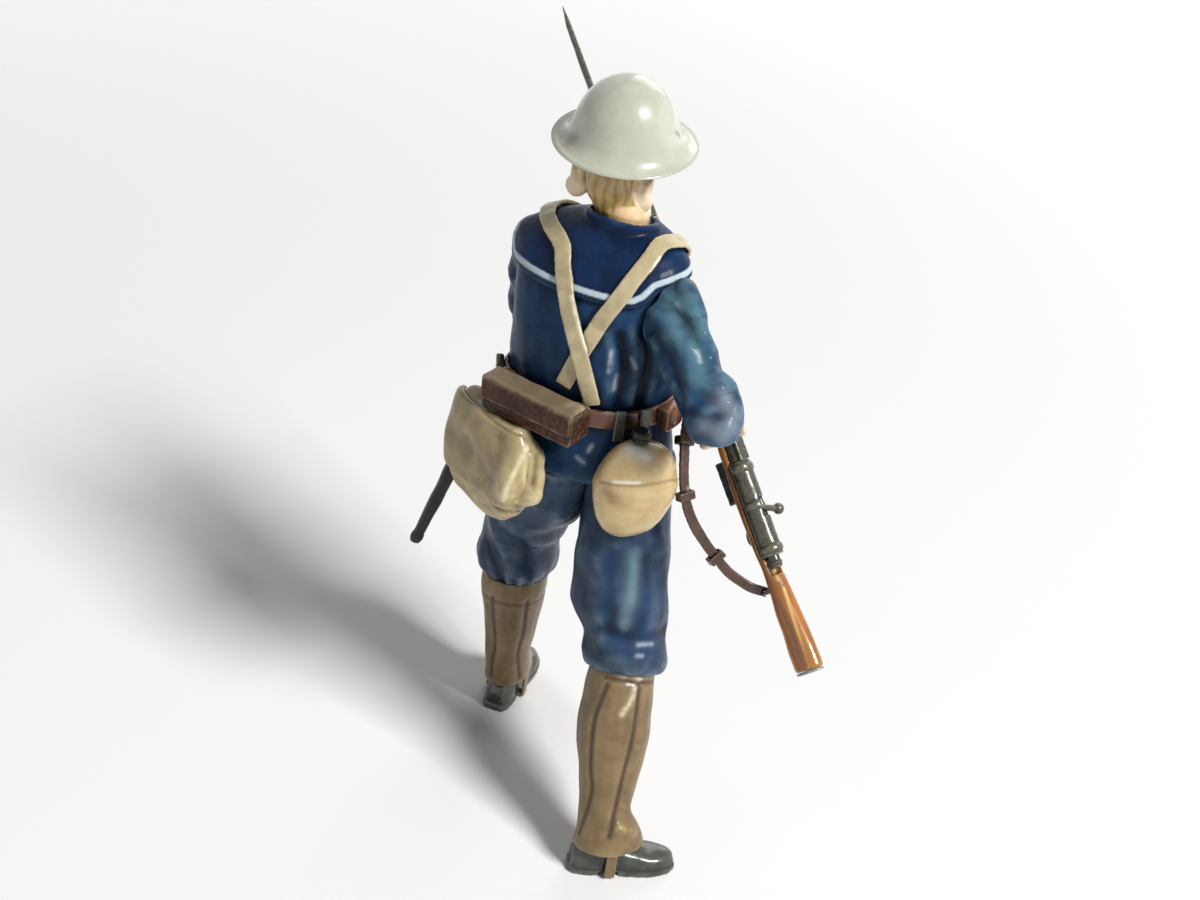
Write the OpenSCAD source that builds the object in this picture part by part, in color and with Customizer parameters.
// Painted metal toy soldier: a sailor of a landing party, on guard with rifle and bayonet.
// The figure faces -Y, its left hand side is +X, and both boot soles stand on Z = 0.

/* [Stance] */
// Distance between the hip joints
hip_gap = 5.2; // [4.8:0.1:5.6]
// How far the leading hip is ahead of the middle
hip_lead = 0.3; // [0:0.1:0.6]
// Leading ankle ahead of the hips
lead_step = 7; // [6.4:0.1:7.6]
// Leading ankle out from the middle
lead_out = 4.3; // [3.9:0.1:4.7]
// Trailing ankle behind the hips
trail_step = 10.2; // [9.6:0.1:10.8]
// Trailing ankle out from the middle
trail_out = 4.7; // [4.3:0.1:5.1]
// Hip to knee
thigh_len = 13.5; // [13.2:0.1:13.8]
// Knee to ankle
shin_len = 13.3; // [13.1:0.1:13.6]
// How straight the trailing leg is, hip to ankle against thigh and shin together
leg_stretch = 0.996; // [0.994:0.0005:0.998]
// Height of the ankle joint above the ground
ankle_height = 2.9; // [2.7:0.1:3.1]
// Turn of the leading foot away from straight ahead
lead_foot_turn = 16; // [10:1:22]
// Turn of the trailing foot away from straight ahead
trail_foot_turn = 78; // [72:1:84]

/* [Torso] */
// Hem of the jumper above the hip joints
hem_rise = 1.8; // [1.6:0.1:2]
// Hem of the jumper to the base of the neck
torso_len = 16.6; // [16:0.1:17.2]
// Width of the chest
chest_w = 11.3; // [11:0.1:11.6]
// Depth of the chest
chest_d = 8; // [7.6:0.1:8.4]
// Shift of the torso to the left over the hips
torso_shift = 0.45; // [0.3:0.05:0.6]
// Shift of the shoulders to the left of the hips
chest_shift = 1.1; // [1:0.05:1.2]
// Shift of the neck to the left of the hips
neck_shift = 0.1; // [0:0.05:0.2]
// Lean of the neck ahead of the hips
chest_lean = 1.6; // [1.2:0.1:2]
// Turn of the chest to the right
chest_turn = 24; // [20:1:28]
// Turn of the hips to the right
hip_turn = 5; // [0:1:10]
// Depth of the folds in the cloth
fold_depth = 0.16; // [0.05:0.01:0.25]
// Rise of the collar behind the neck
collar_stand = 1.2; // [1:0.05:1.4]
// Gap between the collar and the neck
collar_gap = 0.18; // [0.14:0.02:0.24]
// Thickness of the sailor collar
collar_t = 0.3; // [0.2:0.05:0.4]

/* [Arms] */
// Left shoulder joint out from the spine
left_shoulder_out = 5.3; // [5.1:0.1:5.5]
// Left shoulder joint ahead of the spine
left_shoulder_ahead = 1.5; // [1.2:0.1:1.8]
// Right shoulder joint out from the spine
right_shoulder_out = 5.2; // [5.1:0.1:5.3]
// Right shoulder joint behind the spine
right_shoulder_back = 0.9; // [0.6:0.1:1.2]
// Shoulder joint below the base of the neck
shoulder_drop = 3.4; // [3.2:0.1:3.6]
// Shoulder to elbow
upper_arm_len = 9.3; // [9.1:0.1:9.5]
// Elbow to the middle of the grip
forearm_len = 11.3; // [11:0.1:11.6]
// Radius of the sleeve at the upper arm
sleeve_r = 1.85; // [1.7:0.05:2]
// Radius of the bare forearm
forearm_r = 1.25; // [1.1:0.05:1.35]
// Radius of one finger
finger_r = 0.4; // [0.35:0.01:0.44]
// Rounding of the shoulder beyond its joint
shoulder_round = 0.6; // [0.4:0.1:0.8]
// Elbow to the end of the rolled cuff
cuff_reach = 1.2; // [1.1:0.05:1.3]
// Thickness of the rolled cuff
cuff_roll = 0.28; // [0.2:0.02:0.36]

/* [Legs] */
// Radius of the trouser leg at the thigh
trouser_r = 3.15; // [3:0.05:3.3]
// Radius of the gaiter at the calf
gaiter_r = 2.55; // [2.4:0.05:2.7]
// Length of a boot
boot_len = 7.9; // [7.6:0.1:8.2]
// Width of a boot
boot_w = 2.9; // [2.7:0.05:3.1]
// Height of the boot below the gaiter
boot_h = 2.4; // [2.2:0.05:2.6]
// Thickness of sole and heel
sole_t = 0.6; // [0.5:0.05:0.7]
// Width of the strap under the instep
instep_w = 0.8; // [0.6:0.05:1]
// Thickness of the strap under the instep
strap_t = 0.22; // [0.18:0.01:0.26]

/* [Head] */
// Turn of the head to the right
head_turn = 12; // [5:1:20]
// Height of the head from chin to crown
head_h = 8.5; // [8.4:0.05:8.6]
// Width of the skull
skull_w = 5.2; // [5:0.05:5.4]
// Depth of the skull
skull_d = 5.6; // [5.4:0.05:5.8]
// Diameter of the neck
neck_d = 3.7; // [3.6:0.05:3.8]
// Diameter of the peg under the neck
neck_peg_d = 2.4; // [2.2:0.05:2.6]
// Length of the peg under the neck
neck_peg_len = 2; // [1.6:0.1:2.4]
// Diameter of the helmet rim
rim_d = 9.5; // [9.3:0.05:9.7]
// Height of the helmet
helmet_h = 4.6; // [4.4:0.05:4.8]
// Thickness of the helmet
helmet_t = 0.35; // [0.3:0.01:0.4]
// Tilt of the helmet to the back
helmet_tilt = 6; // [2:1:10]
// Base of the neck to the middle of the jaw
neck_rise = 1.7; // [1.5:0.05:1.9]
// Head ahead of the neck
nod = 0.5; // [0.4:0.05:0.6]
// Helmet to the right of the head
helmet_shift = 0.45; // [0.35:0.05:0.5]
// Head to the left of the neck
head_lean = 1; // [0.9:0.05:1.1]
// Jaw to the helmet rim
rim_rise = 4.15; // [4:0.05:4.3]
// Helmet set back and down on the head
helmet_set = 0.35; // [0.25:0.05:0.45]

/* [Equipment] */
// Height of the waist belt
belt_w = 1.4; // [1.2:0.05:1.6]
// Thickness of the waist belt
belt_t = 0.35; // [0.3:0.01:0.4]
// Width of the shoulder braces
brace_w = 1.15; // [1:0.05:1.3]
// Thickness of the shoulder braces
brace_t = 0.3; // [0.25:0.01:0.35]
// Width of the cartridge box
box_w = 7.3; // [7:0.1:7.6]
// Height of the cartridge box
box_h = 2.4; // [2.2:0.1:2.6]
// Depth of the cartridge box
box_d = 1.8; // [1.6:0.1:2]
// Width of the haversack
sack_w = 8.1; // [7.8:0.1:8.4]
// Height of the haversack
sack_h = 7.9; // [7.6:0.1:8.2]
// Depth of the haversack
sack_d = 3; // [2.8:0.1:3.2]
// Width of the water bottle
bottle_w = 5.6; // [5.4:0.1:5.8]
// Height of the water bottle
bottle_h = 7.5; // [7.2:0.1:7.8]
// Depth of the water bottle
bottle_d = 3.4; // [3.2:0.1:3.6]
// Width of the hip pouch
pouch_w = 2; // [1.8:0.1:2.2]
// Height of the hip pouch
pouch_h = 1.9; // [1.7:0.1:2.1]
// Depth of the hip pouch
pouch_d = 0.8; // [0.7:0.05:0.9]
// Length of the bayonet scabbard
scabbard_len = 14; // [13.4:0.1:14.6]
// Width of the bayonet scabbard
scabbard_w = 1.1; // [1:0.05:1.2]
// Hem of the jumper to the waist belt
belt_rise = 5; // [4.8:0.1:5.2]
// Width of the belt clasp
clasp_w = 2; // [1.8:0.1:2.2]
// Thickness of the belt clasp
clasp_t = 0.3; // [0.24:0.02:0.36]
// Rounding of the boxes and pouches
box_round = 0.35; // [0.25:0.05:0.45]
// Thickness of the cartridge box lid
lid_t = 0.24; // [0.2:0.02:0.28]
// Cartridge box above the belt line
box_rise = 0.1; // [0:0.05:0.3]
// Haversack below the belt line
sack_drop = 1.1; // [0.9:0.1:1.3]
// Thickness of the haversack flap
flap_t = 0.26; // [0.2:0.02:0.32]
// Height of the seam round the water bottle
seam_h = 0.1; // [0.06:0.02:0.14]
// Water bottle below the belt line
bottle_drop = 0.5; // [0.4:0.1:0.7]
// Diameter of the bottle stopper
stopper_d = 1.1; // [1:0.05:1.2]
// Height of the bottle stopper
stopper_h = 0.9; // [0.8:0.05:1]
// Width of a bottle carrier strap
carrier_w = 0.7; // [0.6:0.05:0.8]
// Thickness of a bottle carrier strap
carrier_t = 0.25; // [0.2:0.01:0.3]
// Thickness of the scabbard frog
frog_t = 0.5; // [0.4:0.05:0.6]
// Length of the scabbard frog
frog_h = 5; // [4.8:0.1:5.2]
// Lean of the scabbard away from the hip
scabbard_lean = 16; // [14:1:22]
// Rake of the scabbard to the back
scabbard_rake = -9; // [-13:1:-5]

/* [Rifle] */
// Butt to muzzle
rifle_len = 35.7; // [35.2:0.1:36.2]
// Butt below the hip joints
butt_drop = 7; // [6.7:0.1:7.3]
// Butt out to the right of the middle
butt_out = 17.2; // [16.9:0.1:17.5]
// Butt behind the hips
butt_back = 10; // [9.7:0.1:10.3]
// Heading of the muzzle to the left of straight ahead
rifle_heading = 38.9; // [38:0.1:40]
// Rise of the muzzle
rifle_rise = 42.1; // [41:0.1:43]
// Depth of the butt
butt_d = 2.5; // [2.35:0.05:2.65]
// Thickness of the stock
stock_t = 1.5; // [1.4:0.02:1.6]
// Butt to the back of the receiver
receiver_at = 8.3; // [8:0.1:8.6]
// Butt to the back of the handguard
guard_at = 17; // [16.8:0.1:17.3]
// Butt to the right hand
right_grip_at = 18.2; // [18:0.1:18.5]
// Butt to the rear sling swivel
rear_swivel_at = 6.1; // [5.8:0.1:6.4]
// Length of the receiver
receiver_len = 6.8; // [6.4:0.1:7.2]
// Diameter of the receiver
receiver_d = 1.56; // [1.5:0.02:1.62]
// Diameter of the barrel at the receiver
barrel_d = 1.1; // [1:0.02:1.2]
// Diameter of the barrel at the muzzle
muzzle_d = 0.84; // [0.8:0.02:0.9]
// Length of the bolt handle
bolt_reach = 0.75; // [0.65:0.05:0.85]
// Diameter of the bolt knob
knob_d = 0.8; // [0.7:0.02:0.9]
// Length of the bayonet blade
blade_len = 12; // [11.5:0.1:12.5]
// Width of the bayonet blade
blade_w = 0.8; // [0.7:0.02:0.9]
// Width of the rifle sling
sling_w = 0.72; // [0.66:0.01:0.8]
// Thickness of the rifle sling
sling_t = 0.3; // [0.26:0.01:0.34]
// Thickness of the butt plate
plate_t = 0.25; // [0.2:0.01:0.3]
// Thickness of the handguard
guard_t = 0.2; // [0.16:0.01:0.24]
// Height of the receiver rings
ring_t = 0.12; // [0.08:0.01:0.16]
// Sweep of the bolt handle to the back
handle_sweep = 18; // [10:1:24]
// Length of the magazine
magazine_len = 3.1; // [2.9:0.05:3.3]
// Reach of the magazine below the stock
magazine_d = 0.5; // [0.4:0.05:0.6]
// Radius of the trigger guard
guard_r = 0.6; // [0.5:0.02:0.7]
// Radius of the trigger guard bow
guard_wire = 0.16; // [0.12:0.01:0.2]
// Height of the rear sight
sight_h = 0.35; // [0.3:0.01:0.4]
// Length of the nose cap
cap_len = 1.6; // [1.4:0.05:1.8]
// Diameter of the bayonet hilt
hilt_d = 0.9; // [0.8:0.02:1]
// Length of the bayonet hilt
hilt_len = 3.2; // [3:0.05:3.4]
// Bayonet below the bore
hilt_drop = 1.15; // [1.1:0.01:1.2]
// Thickness of the bayonet cross guard
cross_t = 0.35; // [0.3:0.01:0.4]
// Thickness of the bayonet blade
blade_t = 0.34; // [0.28:0.02:0.4]
// Radius of a sling swivel
swivel_r = 0.45; // [0.4:0.01:0.5]
// Radius of the wire of a sling swivel
swivel_wire = 0.14; // [0.12:0.01:0.16]
// Swing of the sling away from the rifle
sling_swing = 4.3; // [4:0.1:4.6]
// Length of a sling keeper
keeper_len = 0.6; // [0.5:0.02:0.7]
// Thickness of a sling keeper
keeper_t = 0.18; // [0.14:0.01:0.22]

/* [Fits] */
// Gap between pieces that are fixed together
fit = 0.03; // [0.02:0.005:0.04]
// Radial gap of the neck peg in its socket
turn_fit = 0.04; // [0.03:0.005:0.06]
// Reach past the faces that a cut goes through
overrun = 0.4; // [0.3:0.05:0.5]

/* [Hidden] */
$fn = 48;

// Vectors and curves
function unit(v) = v / norm(v);
function mix(a, b, t) = a + (b - a) * t;
function ease(t) = t * t * (3 - 2 * t);
function clamp(t) = max(0, min(1, t));
function signed_power(x, p) = sign(x) * pow(abs(x), p);
function joined(rows) = [for (row = rows) each row];
function square_to(v, axis) = unit(v - axis * (v * axis));
function heading(turn) = [-sin(turn), -cos(turn), 0];
// Middle joint of two rods that reach from a to b
function bend(a, b, first, second, pole) =
    let (span = norm(b - a), way = unit(b - a))
    let (along = (first * first - second * second + span * span) / (2 * span))
    let (out = sqrt(max(0, first * first - along * along)))
    a + way * along + square_to(pole, way) * out;
// Smooth curve through the rows of a table, whose first column is the place along it
function row_at(table, t) =
    let (last = len(table) - 1)
    let (i = max(0, min(last - 1, len([for (row = table) if (row[0] <= t) 1]) - 1)))
    let (b = table[i], c = table[i + 1])
    let (a = table[max(i - 1, 0)], d = table[min(i + 2, last)])
    let (s = (t - b[0]) / (c[0] - b[0]))
    let (wide_b = (c[0] - b[0]) / (c[0] - a[0]), wide_c = (c[0] - b[0]) / (d[0] - b[0]))
    let (slope_b = (c - a) * wide_b, slope_c = (d - b) * wide_c)
    b * (2 * s * s * s - 3 * s * s + 1) + slope_b * (s * s * s - 2 * s * s + s)
    + c * (3 * s * s - 2 * s * s * s) + slope_c * (s * s * s - s * s);
function spot(row) = [row[1], row[2], row[3]];

// Ring of points round a centre; power 2 is an ellipse, more is squarer
function ring(centre, side, front, side_r, front_r, count, power = 2) =
    [for (i = [0:count - 1]) let (a = 360 * i / count)
        centre + side * side_r * signed_power(cos(a), 2 / power)
        + front * front_r * signed_power(sin(a), 2 / power)];
// Ring of a flat strip: width across side, from low to high along front
function strip_ring(centre, side, front, width, low, high) =
    [centre - side * width / 2 + front * low, centre + side * width / 2 + front * low,
     centre + side * width / 2 + front * high, centre - side * width / 2 + front * high];

// Solid through a row of rings, with flat ends, or closed on itself
module loft(rings, closed = false) {
    count = len(rings[0]);
    rows = len(rings);
    walls = [for (j = [0:rows - (closed ? 1 : 2)], i = [0:count - 1])
        let (k = (i + 1) % count, up = (j + 1) % rows)
        each [[j * count + i, up * count + k, j * count + k],
            [j * count + i, up * count + i, up * count + k]]];
    base = (rows - 1) * count;
    ends = closed ? [] : [for (i = [1:count - 2])
        each [[0, i, i + 1], [base, base + i + 1, base + i]]];
    polyhedron(joined(rings), concat(walls, ends));
}

// Rings along a table of rows [place, x, y, z, side radius, front radius], with cloth folds
function limb_rings(table, front_hint, steps, count, folds, waves, power = 2) =
    [for (j = [0:steps])
        let (t = j / steps, row = row_at(table, t))
        let (step = 0.5 / steps)
        let (way = unit(spot(row_at(table, t + step)) - spot(row_at(table, t - step))))
        let (front = square_to(front_hint, way), side = cross(front, way))
        [for (i = [0:count - 1])
            let (a = 360 * i / count)
            let (fold = folds * sin(waves[0] * a + 360 * waves[1] * t) * sin(180 * t))
            spot(row) + side * (row[4] + fold) * signed_power(cos(a), 2 / power)
            + front * (row[5] + fold) * signed_power(sin(a), 2 / power)]];

// Half space beyond a point, as a block square to a direction
module beyond(point, way) {
    block = 4 * (hip_height + torso_len);
    turn = [0, acos(way[2]), atan2(way[1], way[0])];
    translate(point) rotate(turn) translate([-block / 2, -block / 2, 0]) cube(block);
}
// Peg or socket from a point along a direction
module peg(point, way, radius, length) {
    translate(point) rotate([0, acos(way[2]), atan2(way[1], way[0])]) cylinder(r = radius, h = length);
}

// Skeleton
stock_end_share = 0.93;
stock_end = rifle_len * stock_end_share;
hip_height = ankle_height + sqrt(pow(leg_stretch * (thigh_len + shin_len), 2)
    - pow(trail_step - hip_lead, 2) - pow(trail_out - hip_gap / 2, 2));
hem_height = hip_height + hem_rise;
hip_left = [hip_gap / 2, -hip_lead, hip_height];
hip_right = [-hip_gap / 2, hip_lead, hip_height];
ankle_left = [lead_out, -lead_step, ankle_height];
ankle_right = [-trail_out, trail_step, ankle_height];
lead_knee_pole = [0.3, -1, 0];
trail_knee_pole = [-0.8, -0.9, 0];
knee_left = bend(hip_left, ankle_left, thigh_len, shin_len, lead_knee_pole);
knee_right = bend(hip_right, ankle_right, thigh_len, shin_len, trail_knee_pole);
chest_top = [chest_shift, -chest_lean, hem_height + torso_len];
neck_base = [neck_shift, chest_top[1], chest_top[2]];
chest_side = [cos(chest_turn), -sin(chest_turn), 0];
chest_back = [sin(chest_turn), cos(chest_turn), 0];
shoulder_left = chest_top + chest_side * left_shoulder_out - chest_back * left_shoulder_ahead
    - [0, 0, shoulder_drop];
shoulder_right = chest_top - chest_side * right_shoulder_out + chest_back * right_shoulder_back
    - [0, 0, shoulder_drop];
butt_point = [-butt_out, butt_back, hip_height - butt_drop];
rifle_way = [cos(rifle_rise) * sin(rifle_heading), -cos(rifle_rise) * cos(rifle_heading), sin(rifle_rise)];
rifle_top = square_to([0, 0, 1], rifle_way);
rifle_left = cross(rifle_top, rifle_way);
left_grip_share = 0.604;
left_grip_at = mix(guard_at, stock_end, left_grip_share);
grip_drop = stock_t / 4;
grip_right = butt_point + rifle_way * right_grip_at - rifle_top * grip_drop;
grip_left = butt_point + rifle_way * left_grip_at - rifle_top * grip_drop;
left_elbow_pole = [0.7, -0.45, -0.9];
right_elbow_pole = [-0.19, 1, 0.05];
elbow_left = bend(shoulder_left, grip_left, upper_arm_len, forearm_len, left_elbow_pole);
elbow_right = bend(shoulder_right, grip_right, upper_arm_len, forearm_len, right_elbow_pole);

// The box round the whole figure is centred on the origin: scabbard to butt, bayonet to trailing boot
left_end = lead_out + sack_w;
bayonet_reach = stock_end + cap_len + hilt_len + blade_len;
front_end = bayonet_reach * cos(rifle_rise) * cos(rifle_heading) + hilt_drop / 2 - butt_back;
back_end = trail_step + boot_w * 0.6;
stand_shift = [(butt_out + butt_d / 4 - left_end) / 2, (front_end - back_end) / 2, 0];
module stand() {
    translate(stand_shift) children();
}

// Torso surface: u goes round from the left over the back, v from the hem to the neck
torso_count = 30;
torso_steps = 22;
torso_shares = [[0, 1.1, 1.16], [0.14, 1.07, 1.1], [0.27, 1, 1], [0.34, 1, 1], [0.42, 1.05, 1.08],
    [0.58, 1.04, 1.08], [0.74, 1.05, 1.04], [0.86, 1.07, 0.86], [0.94, 0.86, 0.66], [1, 0.42, 0.5]];
function torso_middle(v) =
    [mix(torso_shift, chest_shift, v) + (neck_shift - chest_shift) * ease(clamp((v - 0.86) / 0.14)),
     neck_base[1] * v + chest_d * 0.06 * sin(180 * v), mix(hem_height, neck_base[2], v)];
function torso_point(u, v) =
    let (row = row_at(torso_shares, v), turn = mix(hip_turn, chest_turn, ease(clamp(v))))
    let (drag = sin(3 * u + 420 * v) * sin(180 * clamp(v * 1.25)), hang = cos(7 * u) * (1 - clamp(v * 4)))
    let (fold = fold_depth * (drag + hang))
    let (side_r = row[1] * chest_w / 2 + fold, back_r = row[2] * chest_d / 2 + fold)
    let (x = side_r * cos(u), y = back_r * sin(u))
    torso_middle(v) + [x * cos(turn) + y * sin(turn), y * cos(turn) - x * sin(turn), 0];
function torso_normal(u, v) =
    unit(cross(torso_point(u + 4, v) - torso_point(u - 4, v),
        torso_point(u, v + 0.01) - torso_point(u, v - 0.01)));
function torso_skin(u, v, grow) = torso_point(u, v) + torso_normal(u, v) * grow;
// The grown form, for cuts, also reaches one step below the hem
module torso_form(grow = 0) {
    loft([for (j = [grow > 0 ? -1 : 0:torso_steps])
        [for (i = [0:torso_count - 1])
            torso_skin(360 * i / torso_count, j / torso_steps, grow)]]);
}

hip_peg_r = trouser_r / 3;
hip_peg_len = trouser_r * 2 / 3;
module torso() {
    color("#1f3a68") stand() difference() {
        torso_form();
        peg(neck_base + [0, 0, overrun], [0, 0, -1], neck_peg_d / 2 + turn_fit, neck_peg_len + overrun + fit);
        for (hip = [hip_left, hip_right])
            peg([hip[0], hip[1], hem_height - overrun], [0, 0, 1],
                hip_peg_r + fit, hip_peg_len + overrun + fit);
    }
}

// Collar edge: how far down the torso it reaches at each place round it
collar_from = -68;
collar_to = 248;
collar_edge_shares = [[-68, 0.8], [-40, 0.86], [0, 0.868], [12, 0.85], [24, 0.795], [34, 0.785], [90, 0.785],
    [126, 0.785], [135, 0.798], [144, 0.848], [180, 0.872], [220, 0.86], [248, 0.8]];
function collar_edge(u) = row_at(collar_edge_shares, u)[1];
// Band of the collar that stands up round the neck, highest at the back
function collar_neck(u, t, grow) =
    let (rim = torso_skin(u, 1, grow), out = unit([rim[0] - neck_base[0], rim[1] - neck_base[1], 0]))
    mix(rim, neck_base + out * (neck_d / 2 + collar_gap + grow) + [0, 0, collar_stand * (1 + sin(u)) / 2], t);
module collar_form(low, high) {
    across = 40;
    down = 5;
    sheet = [low, high];
    grid = [for (grow = sheet)
        [for (i = [0:across]) let (u = mix(collar_from, collar_to, i / across))
            concat([for (j = [0:down]) torso_skin(u, mix(collar_edge(u), 1, j / down), grow)],
                [for (t = [0.5, 1]) collar_neck(u, t, grow)])]];
    shell(grid[0], grid[1]);
}
// Closed sheet between an inner and an outer grid of points
module shell(inner, outer) {
    rows = len(inner);
    cols = len(inner[0]);
    total = rows * cols;
    function at(i, j, layer) = layer * total + i * cols + j;
    faces = [for (i = [0:rows - 2], j = [0:cols - 2]) each [
        [at(i, j, 1), at(i + 1, j + 1, 1), at(i + 1, j, 1)],
        [at(i, j, 1), at(i, j + 1, 1), at(i + 1, j + 1, 1)],
        [at(i, j, 0), at(i + 1, j, 0), at(i + 1, j + 1, 0)],
        [at(i, j, 0), at(i + 1, j + 1, 0), at(i, j + 1, 0)]]];
    lows = [for (i = [0:rows - 2], j = [0, cols - 1]) let (a = j == 0 ? i : i + 1, b = j == 0 ? i + 1 : i)
        each [[at(a, j, 1), at(b, j, 1), at(b, j, 0)], [at(a, j, 1), at(b, j, 0), at(a, j, 0)]]];
    ends = [for (j = [0:cols - 2], i = [0, rows - 1]) let (a = i == 0 ? j + 1 : j, b = i == 0 ? j : j + 1)
        each [[at(i, a, 1), at(i, b, 1), at(i, b, 0)], [at(i, a, 1), at(i, b, 0), at(i, a, 0)]]];
    polyhedron(concat(joined(inner), joined(outer)), concat(faces, lows, ends));
}
module sailor_collar() {
    color("#16294f") stand() collar_form(fit, fit + collar_t);
}

// Torso with the collar on, as the sleeves meet it
module dressed_form() {
    loft([for (j = [0:torso_steps])
        [for (i = [0:torso_count - 1])
            let (u = 360 * i / torso_count, v = j / torso_steps)
            let (edge = collar_edge(u > collar_to ? u - 360 : u))
            torso_skin(u, v, fit + (collar_t + 3 * fit) * clamp((v - edge + 0.08) / 0.05))]]);
}

// Arms
// Way that the cuff faces, half way between the two parts of the arm
function cuff_way(shoulder, elbow, grip) = unit(unit(elbow - shoulder) + unit(grip - elbow));
function cuff_spot(shoulder, elbow, grip) = elbow + cuff_way(shoulder, elbow, grip) * cuff_reach;
// Corner of a path, rounded from a to b
function corner_at(a, corner, b, t) = mix(mix(a, corner, t), mix(corner, b, t), t);
// Rows of a sleeve from the neck to the cuff: place along it and radii, as shares
sleeve_place_shares = [0, 0.12, 0.23, 0.35, 0.56, 0.76, 0.82, 0.87, 0.92, 0.965, 1];
sleeve_side_shares = [0.7, 0.88, 1.04, 1.08, 1.03, 0.93, 0.85, 0.77, 0.74, 0.71, 0.69];
sleeve_front_shares = [0.7, 0.88, 1.05, 1.1, 1.06, 0.95, 0.86, 0.78, 0.75, 0.72, 0.69];
cuff_roll_shares = [0, 0, 0, 0, 0, 0, 0.4, 1, 1, 0.7, 0.4];
module sleeve_form(shoulder, elbow, grip) {
    root = mix(shoulder, [chest_top[0], chest_top[1], shoulder[2]], 0.42);
    cuff = cuff_spot(shoulder, elbow, grip);
    arm = unit(elbow - shoulder);
    under = shoulder + arm * norm(shoulder - root) * 1.2;
    above = elbow - arm * cuff_reach;
    crown = shoulder + unit(2 * shoulder - root - under) * shoulder_round;
    path = concat([for (k = [0:3]) corner_at(root, crown, under, k / 3)], [mix(under, above, 0.5)],
        [for (k = [0:4]) corner_at(above, elbow, cuff, k / 4)],
        [cuff + cuff_way(shoulder, elbow, grip) * overrun]);
    table = [for (k = [0:len(path) - 1]) let (roll = cuff_roll * cuff_roll_shares[k])
        concat(sleeve_place_shares[k], path[k],
            sleeve_r * sleeve_side_shares[k] + roll, sleeve_r * sleeve_front_shares[k] + roll)];
    loft(limb_rings(table, [0, 0, 1] + rifle_left, 18, 18, fold_depth, [2, 4]));
}
module sleeve(shoulder, elbow, grip) {
    color("#24416f") stand() difference() {
        sleeve_form(shoulder, elbow, grip);
        dressed_form();
        beyond(cuff_spot(shoulder, elbow, grip), cuff_way(shoulder, elbow, grip));
    }
}
module left_sleeve() {
    sleeve(shoulder_left, elbow_left, grip_left);
}
module right_sleeve() {
    sleeve(shoulder_right, elbow_right, grip_right);
}

grip_r = receiver_d / 2 + stock_t / 4;
finger_from = 25;
finger_step = 52;
finger_joints = 4;
// Frame of a hand: +X from the rifle to the palm, +Z along the rifle
module fist(grip, palm) {
    side = cross(rifle_way, palm);
    multmatrix([[palm[0], side[0], rifle_way[0], grip[0]], [palm[1], side[1], rifle_way[1], grip[1]],
        [palm[2], side[2], rifle_way[2], grip[2]], [0, 0, 0, 1]]) children();
}
// Finger curled round the rifle, thinner at each joint
module finger(from, step, joints, radius) {
    reach = grip_r + 2 * fit + radius;
    for (k = [0:joints - 1]) hull() for (end = [k, k + 1])
        rotate([0, 0, from + end * step]) translate([reach, 0, 0])
            sphere(r = radius * (1 - 0.06 * end), $fn = 8);
}
module forearm(shoulder, elbow, grip, hand) {
    cuff = cuff_spot(shoulder, elbow, grip);
    away = cuff_way(shoulder, elbow, grip);
    palm = square_to(elbow - grip, rifle_way);
    wrist = mix(elbow, grip + palm * grip_r, 0.76);
    palm_half = 4 * finger_r;
    pitch = 2 * finger_r * 0.94;
    table = [concat(0, elbow, forearm_r, forearm_r),
        concat(0.25, mix(elbow, wrist, 0.4), forearm_r * 1.02, forearm_r),
        concat(0.6, wrist, forearm_r * 0.72, forearm_r * 0.82),
        concat(0.82, grip + palm * (grip_r + finger_r), forearm_r * 0.74, palm_half * 0.95),
        concat(1, grip + palm * finger_r, forearm_r * 0.9, palm_half * 0.9)];
    color("#d9a985") stand() difference() {
        union() {
            loft(limb_rings(table, rifle_way, 14, 16, 0, [1, 1], 2.4));
            fist(grip, palm) {
                for (k = [-1.5:1:1.5]) translate([0, 0, k * pitch])
                    finger(hand * finger_from, hand * finger_step, finger_joints, finger_r);
                translate([0, 0, 1.2 * pitch])
                    finger(-hand * finger_from, -hand * finger_step, 2, finger_r * 1.1);
            }
        }
        beyond(cuff + away * fit, -away);
        peg(grip - rifle_way * palm_half * 2, rifle_way, grip_r + fit, palm_half * 4);
    }
}
module left_forearm() {
    forearm(shoulder_left, elbow_left, grip_left, 1);
}
module right_forearm() {
    forearm(shoulder_right, elbow_right, grip_right, -1);
}

// Legs
lead_hem_share = 0.24;
trail_hem_share = 0.04;
lead_full_share = 0;
trail_full_share = 0.12;
module trouser_form(hip, knee, ankle, hem_share, full_share, grow = 0) {
    top = [hip[0] * 0.92, hip[1], hem_height + overrun];
    r = trouser_r + grow;
    inward = [-sign(hip[0]) * trouser_r * full_share, 0, 0];
    table = [concat(0, top, r * 1.12, r * 1.36), concat(0.16, hip, r * 1.1, r * 1.32),
        concat(0.5, mix(hip, knee, 0.5) + inward, r * (1.02 + full_share), r * 1.1),
        concat(0.8, mix(hip, knee, 0.85), r * 0.95, r * 1),
        concat(0.93, mix(knee, ankle, hem_share - 0.06), r * 0.96, r * 0.98),
        concat(1, mix(knee, ankle, hem_share + 0.02), r * 0.8, r * 0.82)];
    loft(limb_rings(table, [0, 1, 0], 18, 20, fold_depth * 1.4, [3, 3]));
}
module trouser_leg(hip, knee, ankle, side, hem_share, full_share) {
    hem = mix(knee, ankle, hem_share);
    way = unit(ankle - knee);
    color("#3d5580") stand() {
        difference() {
            trouser_form(hip, knee, ankle, hem_share, full_share);
            beyond([0, 0, hem_height - fit], [0, 0, 1]);
            beyond([side * fit, 0, 0], [-side, 0, 0]);
            beyond(hem, way);
        }
        peg([hip[0], hip[1], hem_height - fit - overrun], [0, 0, 1], hip_peg_r, hip_peg_len + overrun);
    }
}
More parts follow.
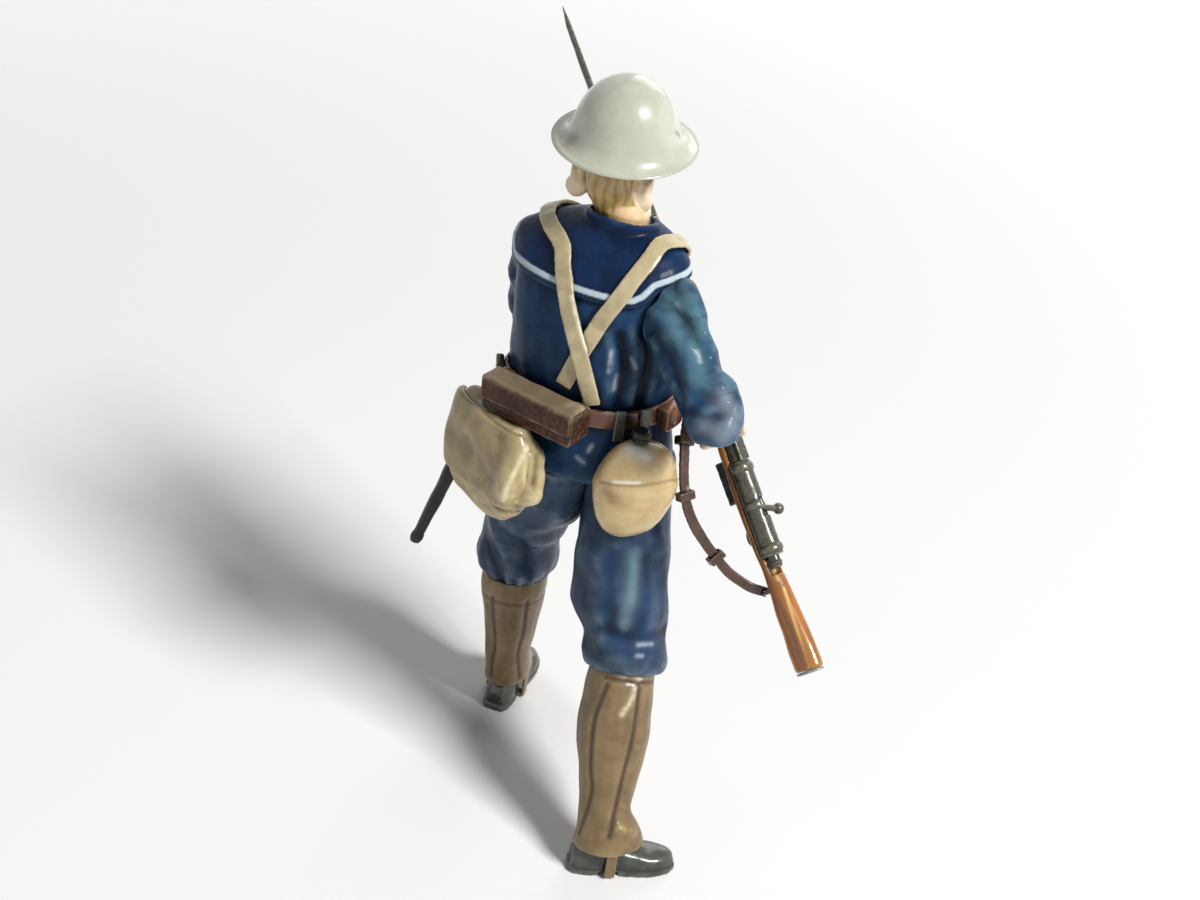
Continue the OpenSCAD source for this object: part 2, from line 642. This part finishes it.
module left_trouser_leg() {
    trouser_leg(hip_left, knee_left, ankle_left, 1, lead_hem_share, lead_full_share);
}
module right_trouser_leg() {
    trouser_leg(hip_right, knee_right, ankle_right, -1, trail_hem_share, trail_full_share);
}

module gaiter(knee, ankle, foot_turn, hem_share) {
    toe = heading(foot_turn);
    way = unit(ankle - knee);
    top = mix(knee, ankle, hem_share);
    hang = [ankle[0], ankle[1], boot_h];
    r = gaiter_r;
    table = [concat(0, mix(knee, ankle, hem_share - 0.06), r * 0.9, r * 0.92),
        concat(0.22, mix(knee, ankle, 0.32) - toe * r * 0.06, r * 1.02, r * 1.06),
        concat(0.5, mix(knee, ankle, 0.58), r * 0.86, r * 0.92),
        concat(0.76, mix(knee, ankle, 0.84), r * 0.68, r * 0.76),
        concat(0.92, hang + toe * r * 0.18 + [0, 0, boot_h * 0.3], r * 0.7, r * 0.98),
        concat(1, hang + toe * r * 0.22 - [0, 0, boot_h * 0.1], r * 0.72, r * 1.06)];
    color("#8c7355") stand() difference() {
        loft(limb_rings(table, toe, 16, 20, fold_depth / 3, [2, 2]));
        beyond(top + way * fit, -way);
        beyond([0, 0, boot_h + fit], [0, 0, -1]);
    }
}
module left_gaiter() {
    gaiter(knee_left, ankle_left, lead_foot_turn, lead_hem_share);
}
module right_gaiter() {
    gaiter(knee_right, ankle_right, trail_foot_turn, trail_hem_share);
}

// Boots: places along the foot as shares of its length, from heel to toe
heel_share = 0.27;
arch_share = 0.46;
boot_shares = [[0, 0.5, 0.72], [0.06, 0.72, 0.92], [0.18, 0.84, 1.02], [0.38, 0.86, 1.04], [0.55, 0.98, 0.86],
    [0.75, 1.02, 0.66], [0.92, 0.8, 0.56], [1, 0.42, 0.42]];
module at_foot(ankle, foot_turn) {
    translate([ankle[0], ankle[1], 0]) rotate([0, 0, -foot_turn])
        translate([0, boot_len * heel_share, 0]) children();
}
module boot(ankle, foot_turn) {
    outline = [for (j = [0:24]) let (t = j / 24) [row_at(boot_shares, t)[1] * boot_w / 2, -t * boot_len]];
    low = sole_t * 0.8;
    rings = [for (j = [0:18]) let (t = j / 18, row = row_at(boot_shares, t), high = row[2] * boot_h - low)
        [for (i = [0:15]) let (a = 360 * i / 16)
            [row[1] * boot_w * 0.47 * signed_power(cos(a), 0.8), -boot_len * mix(t, 0.5, 0.03),
             low + (sin(a) > 0 ? high * signed_power(sin(a), 0.8) : low / 2 * sin(a))]]];
    color("#20281f") stand() difference() {
        at_foot(ankle, foot_turn) union() {
            loft(rings);
            linear_extrude(sole_t)
                polygon(concat(outline, [for (j = [24:-1:0]) [-outline[j][0], outline[j][1]]]));
        }
        at_foot(ankle, foot_turn) translate([-boot_w, -boot_len * arch_share, -overrun])
            cube([2 * boot_w, boot_len * (arch_share - heel_share), sole_t * 0.7 + overrun]);
        beyond([0, 0, boot_h], [0, 0, 1]);
    }
}
module left_boot() {
    boot(ankle_left, lead_foot_turn);
}
module right_boot() {
    boot(ankle_right, trail_foot_turn);
}
module instep_strap(ankle, foot_turn) {
    inner_w = boot_w * 0.98;
    bottom = sole_t * 0.7 - fit - strap_t;
    color("#7d6547") stand() at_foot(ankle, foot_turn)
        translate([0, -boot_len * (arch_share + heel_share) / 2 + instep_w / 2, 0]) rotate([90, 0, 0])
        linear_extrude(instep_w) difference() {
            translate([-inner_w / 2 - strap_t, bottom]) square([inner_w + 2 * strap_t, boot_h - bottom]);
            translate([-inner_w / 2, bottom + strap_t]) square([inner_w, boot_h]);
        }
}
module left_instep_strap() {
    instep_strap(ankle_left, lead_foot_turn);
}
module right_instep_strap() {
    instep_strap(ankle_right, trail_foot_turn);
}

// Head, in its own frame: origin at the base of the neck, facing -Y
ear_r = skull_w * 0.14;
module at_head() {
    translate(neck_base) rotate([0, 0, -head_turn]) children();
}
skull_middle = [head_lean, -nod, neck_rise];
// Rows: height share, half width share, half depth share, shift to the front share
skull_shares = [[0, 0.3, 0.2, 0.3], [0.06, 0.52, 0.42, 0.2], [0.16, 0.7, 0.66, 0.08], [0.3, 0.84, 0.84, 0.02],
    [0.46, 0.94, 0.96, 0], [0.6, 1, 1, -0.01], [0.78, 0.86, 0.86, -0.02], [0.9, 0.66, 0.68, -0.03],
    [0.97, 0.38, 0.4, -0.03], [1, 0.12, 0.14, -0.03]];
chin_share = 0.07;
function skull_ring(t) =
    let (row = row_at(skull_shares, t))
    ring(skull_middle + [0, -row[3] * skull_d / 2, (t - 0.12) * head_h], [1, 0, 0], [0, 1, 0],
        row[1] * skull_w / 2, row[2] * skull_d / 2, 24, 2.2);
// Rows of the neck: height share, share of the lean to the head, radius share
neck_shares = [[0, 0, 1], [0.3, 0, 0.99], [0.58, 0.1, 0.97], [1, 1, 0.95]];
module neck_form() {
    loft([for (row = neck_shares)
        ring([head_lean * row[1], -nod * row[1], neck_rise * 1.3 * row[0] + fit], [1, 0, 0], [0, 1, 0],
            neck_d / 2 * row[2], neck_d / 2 * row[2], 24)]);
}
module nose() {
    high = head_h * 0.2;
    low_z = head_h * 0.035;
    face = -skull_d * 0.38;
    reach = skull_d * 0.11;
    half = skull_w * 0.08;
    bridge_z = low_z + high;
    translate(skull_middle) loft([
        [[half / 2, face, bridge_z], [0, face - reach / 4, bridge_z], [-half / 2, face, bridge_z],
            [0, face + reach, bridge_z]],
        [[half, face, low_z], [0, face - reach, low_z], [-half, face, low_z], [0, face + reach, low_z]]]);
}
module head() {
    color("#d9a985") stand() at_head() union() {
        loft([for (j = [0:18]) skull_ring(mix(chin_share, 1, j / 18))]);
        neck_form();
        nose();
        for (side = [-1, 1])
            translate(skull_middle + [side * skull_w * 0.45, skull_d * 0.06, head_h * 0.05])
                sphere(r = ear_r, $fn = 24);
        translate([0, 0, -neck_peg_len]) cylinder(d = neck_peg_d, h = neck_peg_len + neck_rise / 2);
    }
}

// Helmet: a bowl with a flared brim; shares of the rim radius and of the height
bowl_share = 0.71;
bowl_low_share = 0.2;
flare_share = 1 - bowl_share * sqrt(1 - pow(bowl_low_share / (1 - bowl_low_share), 2));
flare_fade_share = 0.115;
bell_shares = [0, 0.02, 0.045, 0.08, 0.12, 0.17, 0.23, 0.3, 0.38, 0.47, 0.56,
    0.65, 0.73, 0.8, 0.86, 0.91, 0.95, 0.98];
function bell_share(h) =
    bowl_share * sqrt(1 - pow((h - bowl_low_share) / (1 - bowl_low_share), 2))
    + flare_share * exp(-h / flare_fade_share);
function bell_line(drop) =
    concat([for (h = bell_shares) [bell_share(h) * (rim_d / 2 - drop), h * (helmet_h - drop)]],
        [[0, helmet_h - drop]]);
module helmet() {
    outer = bell_line(0);
    inner = bell_line(helmet_t);
    profile = concat(outer, [for (i = [len(inner) - 1:-1:0]) inner[i]]);
    color("#c8ccbe") stand() at_head()
        translate(skull_middle + [-helmet_shift, helmet_set, rim_rise - helmet_set])
        rotate([-helmet_tilt, 0, 0]) rotate_extrude($fn = 96) polygon(profile);
}

// Waist belt and what it carries
belt_v = belt_rise / torso_len;
module waist_belt() {
    half = belt_w / 2 / torso_len;
    color("#7d4628") stand() loft([for (i = [0:torso_count - 1]) let (u = 360 * i / torso_count)
        [torso_skin(u, belt_v - half, fit), torso_skin(u, belt_v + half, fit),
         torso_skin(u, belt_v + half, fit + belt_t), torso_skin(u, belt_v - half, fit + belt_t)]], true);
}
// Frame on the torso: +Y away from the body, +Z up
module on_torso(u, v, grow) {
    out = torso_normal(u, v);
    translate(torso_skin(u, v, grow)) rotate([0, 0, atan2(out[1], out[0]) - 90]) children();
}
belt_top = fit + belt_t + fit;
module belt_clasp() {
    color("#b08d3c") stand() difference() {
        on_torso(270, belt_v, belt_top - overrun) union() {
            translate([-clasp_w / 2, 0, -belt_w * 0.55]) cube([clasp_w, overrun + clasp_t, belt_w * 1.1]);
            translate([0, overrun, 0]) rotate([-90, 0, 0]) cylinder(d = belt_w * 0.8, h = clasp_t * 1.6);
        }
        torso_form(belt_top);
    }
}

// Braces: places on the torso from the back of the belt over the shoulder to the front, as the way along,
// the angle round the torso and the rise from the top of the belt to the neck
left_brace_shares = [[0, 102, 0.04], [0.24, 95, 0.406], [0.42, 81, 0.787], [0.5, 63, 0.886],
    [0.58, 10, 0.916], [0.66, -36, 0.886], [0.75, -64, 0.772], [1, -84, 0.04]];
right_brace_shares = [[0, 84, 0.132], [0.2, 99, 0.406], [0.42, 126, 0.82], [0.5, 140, 0.928],
    [0.58, 168, 0.962], [0.66, 208, 0.92], [0.75, 229, 0.772], [1, 243, 0.04]];
cross_share = 0.22;
cross_reach_share = 0.19;
module brace_form(table, over) {
    steps = 36;
    low = (belt_rise + belt_w / 2) / torso_len;
    places = [for (j = [0:steps]) let (row = row_at(table, j / steps)) [row[0], row[1], mix(low, 1, row[2])]];
    lifts = [for (j = [0:steps])
        let (p = places[j], near = 1 - clamp(abs(j / steps - cross_share) / cross_reach_share))
        fit + (collar_t + 2 * fit) * ease(clamp((p[2] - collar_edge(p[1]) + 0.08) / 0.06))
        + over * (brace_t + 3 * fit) * ease(min(1, near * 1.5))];
    spots = [for (j = [0:steps]) torso_skin(places[j][1], places[j][2], lifts[j])];
    loft([for (j = [0:steps])
        let (way = unit(spots[min(j + 1, steps)] - spots[max(j - 1, 0)]))
        let (out = square_to(torso_normal(places[j][1], places[j][2]), way), side = cross(out, way))
        strip_ring(spots[j], side, out, brace_w, 0, brace_t)]);
}
module left_brace() {
    color("#bea982") stand() brace_form(left_brace_shares, 1);
}
module right_brace() {
    color("#bea982") stand() brace_form(right_brace_shares, 0);
}

// Rounded block standing on its back face: x across, y away from the body, z up
module pillow(width, depth, height, round) {
    translate([-width / 2, depth, -height / 2]) rotate([90, 0, 0]) linear_extrude(depth)
        hull() for (x = [round, width - round], z = [round, height - round])
            translate([x, z]) circle(r = round, $fn = 24);
}
box_u = 66;
module at_box() {
    on_torso(box_u, belt_v, belt_top) translate([0, 0, box_rise]) children();
}
module cartridge_box() {
    color("#553c32") stand() difference() {
        at_box() translate([0, -overrun, 0]) pillow(box_w, box_d + overrun, box_h, box_round);
        torso_form(belt_top);
    }
}
module cartridge_box_lid() {
    reach = box_d + fit + lid_t;
    drop = box_h * 0.62;
    top = box_h / 2 + fit;
    color("#5d4437") stand() at_box() translate([-box_w / 2, 0, 0]) rotate([90, 0, 90])
        linear_extrude(box_w)
        polygon([[lid_t, top], [reach - lid_t, top], [reach - lid_t, top - drop], [reach, top - drop],
            [reach, top + lid_t * 0.4], [reach - lid_t * 0.6, top + lid_t], [lid_t, top + lid_t]]);
}

// Haversack: rows of height, half width, half depth
sack_u = 39;
sack_shares = [[0, 0.5, 0.5], [0.06, 0.72, 0.8], [0.2, 0.9, 1.02], [0.45, 1, 1.06], [0.7, 0.93, 0.94],
    [0.9, 0.84, 0.74], [1, 0.78, 0.52]];
function sack_point(a, t, grow) =
    let (row = row_at(sack_shares, t), wrinkle = fold_depth * 0.7 * sin(5 * a + 300 * t) * sin(180 * t))
    [(row[1] * sack_w / 2 + grow + wrinkle) * signed_power(cos(a), 0.6),
     sack_d / 2 + (row[2] * sack_d / 2 + grow + wrinkle) * signed_power(sin(a), 0.6), (t - 1) * sack_h];
module at_sack() {
    on_torso(sack_u, belt_v, belt_top) translate([0, 0, -sack_drop]) children();
}
module haversack() {
    color("#b9aa82") stand() difference() {
        at_sack() loft([for (j = [0:14]) [for (i = [0:27]) sack_point(360 * i / 28, j / 14, 0)]]);
        torso_form(belt_top);
        trouser_form(hip_left, knee_left, ankle_left, lead_hem_share, lead_full_share, fit);
        at_box() translate([0, -overrun, 0])
            pillow(box_w + 2 * fit, box_d + lid_t + 2 * fit + overrun, box_h + 2 * fit, box_round);
        scabbard_form(fit);
    }
}
flap_share = 0.28;
module haversack_flap() {
    sheet = [fit, fit + flap_t];
    grid = [for (grow = sheet)
        [for (i = [0:16]) let (a = mix(176, 4, i / 16))
            [for (j = [0:8]) sack_point(a, mix(flap_share, 1, j / 8), grow) + [0, 0, grow * ease(j / 8)]]]];
    color("#c4b48c") stand() at_sack() shell(grid[0], grid[1]);
}

// Water bottle: a flattened egg with a seam round its middle
bottle_u = 128;
module at_bottle() {
    on_torso(bottle_u, belt_v, belt_top) translate([0, 0, -bottle_drop]) children();
}
function bottle_ring(t) =
    let (rise = -cos(180 * t), wide = pow(sin(180 * t), 0.86), seam = seam_h * (abs(t - 0.56) < 0.02 ? 1 : 0))
    ring([0, bottle_d / 2, (rise - 1) * bottle_h / 2], [1, 0, 0], [0, 1, 0],
        wide * (bottle_w / 2 + seam), wide * (bottle_d / 2 + seam), 32, 2.2);
bottle_places = [0.04, 0.08, 0.14, 0.22, 0.32, 0.42, 0.5, 0.53, 0.56, 0.59, 0.66, 0.75, 0.83, 0.9, 0.95];
module water_bottle() {
    color("#d7be8c") stand() difference() {
        at_bottle() loft([for (t = bottle_places) bottle_ring(t)]);
        torso_form(belt_top);
        trouser_form(hip_right, knee_right, ankle_right, trail_hem_share, trail_full_share, fit);
    }
}
module bottle_stopper() {
    low = -bottle_h / 2 * (1 + cos(180 * 0.95)) + fit;
    color("#3a3a30") stand() at_bottle() translate([0, bottle_d / 2, low]) {
        cylinder(d = stopper_d, h = stopper_h * 0.6);
        translate([0, 0, stopper_h * 0.6])
            cylinder(d1 = stopper_d * 1.3, d2 = stopper_d, h = stopper_h * 0.4);
    }
}
carrier_drop = bottle_drop + bottle_h * 0.12;
module bottle_carrier() {
    color("#2b2f28") stand() for (k = [-1, 1]) on_torso(bottle_u + k * 9, belt_v, belt_top)
        translate([-carrier_w / 2, fit, -carrier_drop])
            cube([carrier_w, carrier_t, carrier_drop + belt_w / 2 + carrier_t]);
}

// Small pouch at the right hip
pouch_u = 162;
module hip_pouch() {
    color("#5d4437") stand() difference() {
        on_torso(pouch_u, belt_v, belt_top - overrun) union() {
            pillow(pouch_w, pouch_d + overrun, pouch_h, box_round);
            translate([0, pouch_d * 0.2, pouch_h * 0.1])
                pillow(pouch_w * 0.3, pouch_d + overrun, pouch_h * 0.6, pouch_w * 0.1);
        }
        torso_form(belt_top);
    }
}

// Bayonet scabbard on its frog at the left hip
frog_u = 8;
module at_frog() {
    on_torso(frog_u, belt_v, belt_top) children();
}
module scabbard_frog() {
    color("#3a2a20") stand() difference() {
        at_frog() translate([0, -overrun, -frog_h / 3])
            pillow(scabbard_w * 1.5, overrun + frog_t, frog_h, box_round);
        torso_form(belt_top);
    }
}
scabbard_shares = [[0, 1, 0.5], [0.1, 1, 0.5], [0.75, 0.8, 0.42], [0.92, 0.62, 0.36],
    [0.96, 0.7, 0.46], [1, 0.5, 0.34]];
module scabbard_form(grow) {
    at_frog() translate([0, frog_t + scabbard_w / 2 + 2 * fit, -frog_h * 0.66])
        rotate([scabbard_lean, scabbard_rake, 0]) loft([for (row = scabbard_shares)
            ring([0, 0, -row[0] * scabbard_len], [1, 0, 0], [0, -1, 0],
                row[1] * scabbard_w / 2 + grow, row[2] * scabbard_w + grow, 20, 2.4)]);
}
module scabbard() {
    color("#15161a") stand() scabbard_form(0);
}

// Rifle frame: +Z from the butt to the muzzle along the bore, +Y to the top, +X to the left
module on_rifle() {
    multmatrix([[rifle_left[0], rifle_top[0], rifle_way[0], butt_point[0]],
        [rifle_left[1], rifle_top[1], rifle_way[1], butt_point[1]],
        [rifle_left[2], rifle_top[2], rifle_way[2], butt_point[2]], [0, 0, 0, 1]]) children();
}
function rifle_point(along, up) = butt_point + rifle_way * along + rifle_top * up;
// Rows: place along the rifle, drop of the middle and half height as shares of the butt depth, half width
stock_shares = [[0, 0.22, 0.5, 0.96], [0.06, 0.22, 0.48, 1], [0.14, 0.24, 0.36, 0.98],
    [0.2, 0.25, 0.25, 0.86], [0.26, 0.3, 0.25, 0.96], [0.36, 0.31, 0.26, 1], [0.46, 0.24, 0.22, 0.98],
    [0.7, 0.19, 0.17, 0.9], [0.93, 0.15, 0.14, 0.78]];
// Underside of the stock below the bore
function stock_drop(at) =
    let (row = row_at(stock_shares, at / rifle_len)) (row[1] + row[2]) * butt_d;
function stock_ring(t, grow) =
    let (row = row_at(stock_shares, t))
    ring([0, -row[1] * butt_d, t * rifle_len], [1, 0, 0], [0, 1, 0],
        row[3] * stock_t / 2 + grow, row[2] * butt_d + grow, 20, 2.4);
module fore_end(grow) {
    loft([for (j = [0:12]) stock_ring(mix(receiver_at / rifle_len, 0.99, j / 12), grow)]);
}
module whole_stock(grow) {
    loft([for (j = [0:22]) stock_ring(mix(plate_t / rifle_len, stock_end_share, j / 22), grow)]);
}
function barrel_r(t) = mix(barrel_d, muzzle_d, clamp(t)) / 2;
barrel_at = receiver_at + receiver_len;
barrel_len = rifle_len - barrel_at;
module barrel_form(grow) {
    translate([0, 0, barrel_at - (grow > 0 ? overrun : 0)])
        cylinder(r1 = barrel_r(0) + grow, r2 = barrel_r(1) + grow,
            h = barrel_len + (grow > 0 ? 2 * overrun : 0));
}
module receiver_form(grow) {
    translate([0, 0, receiver_at - grow]) cylinder(d = receiver_d + 2 * grow, h = receiver_len + 2 * grow);
}
module rifle_stock() {
    color("#b8691f") stand() on_rifle() difference() {
        whole_stock(0);
        barrel_form(fit);
        receiver_form(fit);
        magazine_form(fit);
        translate([0, 0, receiver_at - 3 * bolt_r])
            cylinder(r = bolt_r * 1.3 + 2 * fit, h = 3 * bolt_r + overrun);
    }
}
module rifle_handguard() {
    color("#b8691f") stand() on_rifle() difference() {
        translate([0, 0, guard_at])
            cylinder(r1 = barrel_r(0) + fit + guard_t, r2 = barrel_r(0.9) + fit + guard_t,
                h = stock_end - guard_at);
        barrel_form(fit);
        fore_end(fit);
    }
}
module rifle_receiver() {
    color("#3a403a") stand() on_rifle() difference() {
        union() {
            receiver_form(0);
            for (place = [0.04, 0.5, 0.9]) translate([0, 0, receiver_at + receiver_len * place])
                intersection() {
                    cylinder(d = receiver_d + 2 * ring_t, h = receiver_len * 0.06);
                    translate([-receiver_d, receiver_d * 0.1, 0]) cube(2 * receiver_d);
                }
        }
        translate([0, 0, receiver_at - overrun])
            cylinder(r = bolt_r + fit, h = receiver_len * bolt_len_share + overrun + fit);
        translate([-receiver_d, receiver_d * 0.12, receiver_at + receiver_len * slot_from_share])
            cube([receiver_d, receiver_d, receiver_len * slot_share]);
    }
}
module rifle_barrel() {
    color("#343a35") stand() on_rifle() difference() {
        translate([0, 0, fit]) intersection() {
            barrel_form(0);
            cylinder(d = 2 * barrel_d, h = rifle_len - fit);
        }
        translate([0, 0, rifle_len - muzzle_d]) cylinder(d = muzzle_d * 0.4, h = muzzle_d + overrun);
    }
}
bolt_r = receiver_d * 0.27;
bolt_share = 0.5;
slot_share = 0.2;
slot_from_share = bolt_share - slot_share / 2;
bolt_len_share = 0.6;
handle_r = knob_d * 0.28;
module rifle_bolt() {
    color("#4a4f48") stand() on_rifle() {
        translate([0, 0, receiver_at - 2 * bolt_r])
            cylinder(r = bolt_r, h = receiver_len * bolt_len_share + 2 * bolt_r);
        translate([0, 0, receiver_at - 2 * bolt_r - fit])
            cylinder(r1 = bolt_r * 0.7, r2 = bolt_r * 1.3, h = bolt_r);
        translate([0, receiver_d * 0.3, receiver_at + receiver_len * bolt_share]) rotate([0, -90, 0])
            rotate([0, -handle_sweep, 0]) {
                cylinder(r = handle_r, h = receiver_d / 2 + bolt_reach);
                translate([0, 0, receiver_d / 2 + bolt_reach]) sphere(d = knob_d);
            }
    }
}
magazine_share = 0.62;
module magazine_form(grow) {
    back = receiver_at + receiver_len * magazine_share;
    translate([-stock_t * 0.36 - grow, -receiver_d - magazine_d, back - grow])
        cube([stock_t * 0.72 + 2 * grow, magazine_d + receiver_d / 2 - 2 * fit, magazine_len + 2 * grow]);
}
module rifle_magazine() {
    color("#343a35") stand() on_rifle() difference() {
        magazine_form(0);
        barrel_form(fit);
        receiver_form(fit);
    }
}
module trigger_guard() {
    place = receiver_at + receiver_len / 4;
    color("#343a35") stand() on_rifle() difference() {
        translate([0, -stock_drop(place), place]) {
            rotate([0, 90, 0]) rotate_extrude($fn = 32) translate([guard_r, 0])
                circle(r = guard_wire, $fn = 16);
            rotate([90, 0, 0]) cylinder(r = guard_wire, h = guard_r * 0.6);
        }
        whole_stock(fit);
    }
}
module butt_plate() {
    color("#9a9c98") stand() on_rifle() loft([stock_ring(0, 0), stock_ring((plate_t - fit) / rifle_len, 0)]);
}
module rear_sight() {
    color("#2c312c") stand() on_rifle() difference() {
        translate([-barrel_d * 0.35, 0, barrel_at])
            cube([barrel_d * 0.7, barrel_d / 2 + sight_h, (guard_at - barrel_at) * 0.85]);
        barrel_form(fit);
        receiver_form(fit);
        translate([-fit, barrel_d / 2 + sight_h / 2, 0]) cube([2 * fit, barrel_d, rifle_len]);
        fore_end(fit);
    }
}
module nose_cap() {
    start = stock_end + fit;
    color("#343a35") stand() on_rifle() difference() {
        hull() {
            translate([0, 0, start]) cylinder(r = barrel_r(1) + guard_t, h = cap_len);
            translate([0, -hilt_drop, start]) cylinder(r = hilt_d * 0.4, h = cap_len);
        }
        barrel_form(fit);
    }
}
module bayonet_hilt() {
    start = stock_end + cap_len + 2 * fit;
    color("#4a3426") stand() on_rifle() difference() {
        union() {
            translate([0, -hilt_drop, start]) cylinder(d = hilt_d, h = hilt_len);
            translate([0, 0, start + hilt_len - cross_t]) hull() {
                cylinder(r = muzzle_d * 0.75, h = cross_t);
                translate([0, -hilt_drop * 1.7, 0]) cylinder(r = hilt_d * 0.4, h = cross_t);
            }
        }
        barrel_form(fit);
    }
}
module bayonet_blade() {
    start = stock_end + cap_len + hilt_len + 3 * fit;
    point_share = 0.12;
    blade_shares = [[0, 1, 1], [0.55, 0.92, 1], [0.88, 0.72, 0.9], [1, point_share, 0.3]];
    color("#2e302e") stand() on_rifle() loft([for (row = blade_shares)
        ring([0, -hilt_drop + (1 - row[1]) * blade_w / 4, start + row[0] * blade_len], [1, 0, 0], [0, 1, 0],
            row[2] * blade_t / 2, row[1] * blade_w / 2, 12)]);
}

// Sling: hangs from the butt to the lower band, swung out behind the right hip
front_swivel_share = 0.52;
front_swivel_at = mix(right_grip_at, left_grip_at, front_swivel_share);
swivel_places = [rear_swivel_at, front_swivel_at];
sling_shares = [[0, 0, 0, 0], [0.12, 0.16, 0.3, -0.2], [0.27, 0.36, 0.6, -0.27], [0.5, 0.6, 0.96, -0.05],
    [0.7, 0.46, 1, 0.32], [0.86, 0.2, 0.6, 0.36], [1, 0, 0, 0]];
function under_stock(at) = rifle_point(at, -stock_drop(at) - swivel_r - 2 * swivel_wire);
function sling_spot(t) =
    mix(under_stock(rear_swivel_at), under_stock(front_swivel_at), t)
    + sling_swing * [for (k = [1:3]) row_at(sling_shares, t)[k]];
sling_hint = [-0.55, 0.8, 0.2];
function sling_frame(t) =
    let (way = unit(sling_spot(min(1, t + 0.01)) - sling_spot(max(0, t - 0.01))))
    let (out = square_to(sling_hint, way))
    [sling_spot(t), cross(out, way), out, way];
module rifle_sling() {
    steps = 40;
    color("#4b2d23") stand() difference() {
        loft([for (j = [0:steps]) let (f = sling_frame(j / steps))
            strip_ring(f[0], f[1], f[2], sling_w, -sling_t / 2, sling_t / 2)]);
        for (at = swivel_places) swivel_ring(at, fit);
    }
}
module swivel_ring(at, grow) {
    on_rifle() translate([0, -stock_drop(at) - swivel_r * 0.8, at])
        rotate_extrude($fn = 32) translate([swivel_r, 0]) circle(r = swivel_wire + grow, $fn = 16);
}
module sling_swivels() {
    color("#4a4f48") stand() for (at = swivel_places) difference() {
        swivel_ring(at, 0);
        on_rifle() whole_stock(fit);
    }
}
keeper_places = [0.3, 0.55, 0.72];
module sling_keepers() {
    color("#3c2219") stand() for (t = keeper_places) let (f = sling_frame(t))
        multmatrix([[f[1][0], f[2][0], f[3][0], f[0][0]], [f[1][1], f[2][1], f[3][1], f[0][1]],
            [f[1][2], f[2][2], f[3][2], f[0][2]], [0, 0, 0, 1]])
        translate([0, 0, -keeper_len / 2]) linear_extrude(keeper_len) difference() {
            square([sling_w + 4 * fit + 2 * keeper_t, sling_t + 4 * fit + 2 * keeper_t], center = true);
            square([sling_w + 4 * fit, sling_t + 4 * fit], center = true);
        }
}

torso();
sailor_collar();
left_sleeve();
right_sleeve();
left_forearm();
right_forearm();
left_trouser_leg();
right_trouser_leg();
left_gaiter();
right_gaiter();
left_boot();
right_boot();
left_instep_strap();
right_instep_strap();
head();
helmet();
waist_belt();
belt_clasp();
left_brace();
right_brace();
cartridge_box();
cartridge_box_lid();
haversack();
haversack_flap();
water_bottle();
bottle_stopper();
bottle_carrier();
hip_pouch();
scabbard();
scabbard_frog();
rifle_stock();
rifle_handguard();
rifle_receiver();
rifle_barrel();
rifle_bolt();
rifle_magazine();
trigger_guard();
butt_plate();
rear_sight();
nose_cap();
bayonet_hilt();
bayonet_blade();
rifle_sling();
sling_keepers();
sling_swivels();
